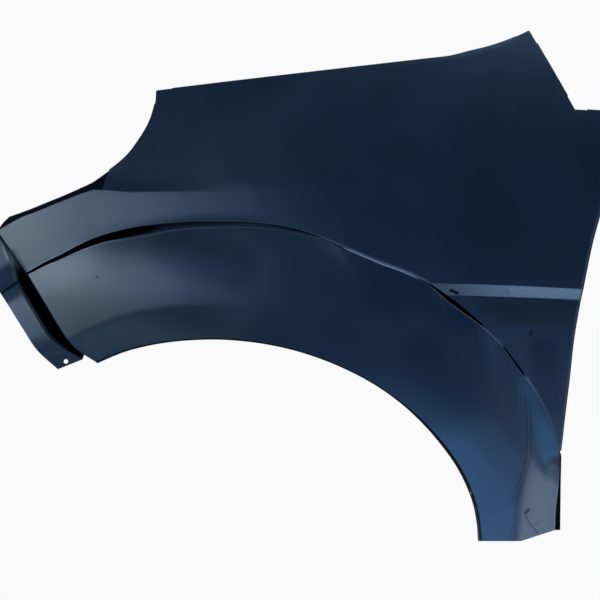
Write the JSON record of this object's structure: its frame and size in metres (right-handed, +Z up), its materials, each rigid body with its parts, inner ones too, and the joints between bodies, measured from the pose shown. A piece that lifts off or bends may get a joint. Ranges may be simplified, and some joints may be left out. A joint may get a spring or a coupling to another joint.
{
  "type": "front fender",
  "caption": "Left-hand car front fender: one pressed steel sheet with a flared wheel arch, a stepped crease, a rear swage, a lamp cut-out and turned bolting flanges.",
  "frame": {"origin": "middle of the underside of the bonnet rail, the bolting flange along the upper edge", "axes": "+X to the rear of the car, +Y inboard (the painted outer face looks along -Y), +Z up as fitted"},
  "size_m": [0.9131, 0.1622, 0.7145],
  "materials": {
    "panel": "satin"
  },
  "bodies": {
    "root": {"fender_panel": "panel"}
  },
  "joints": []
}
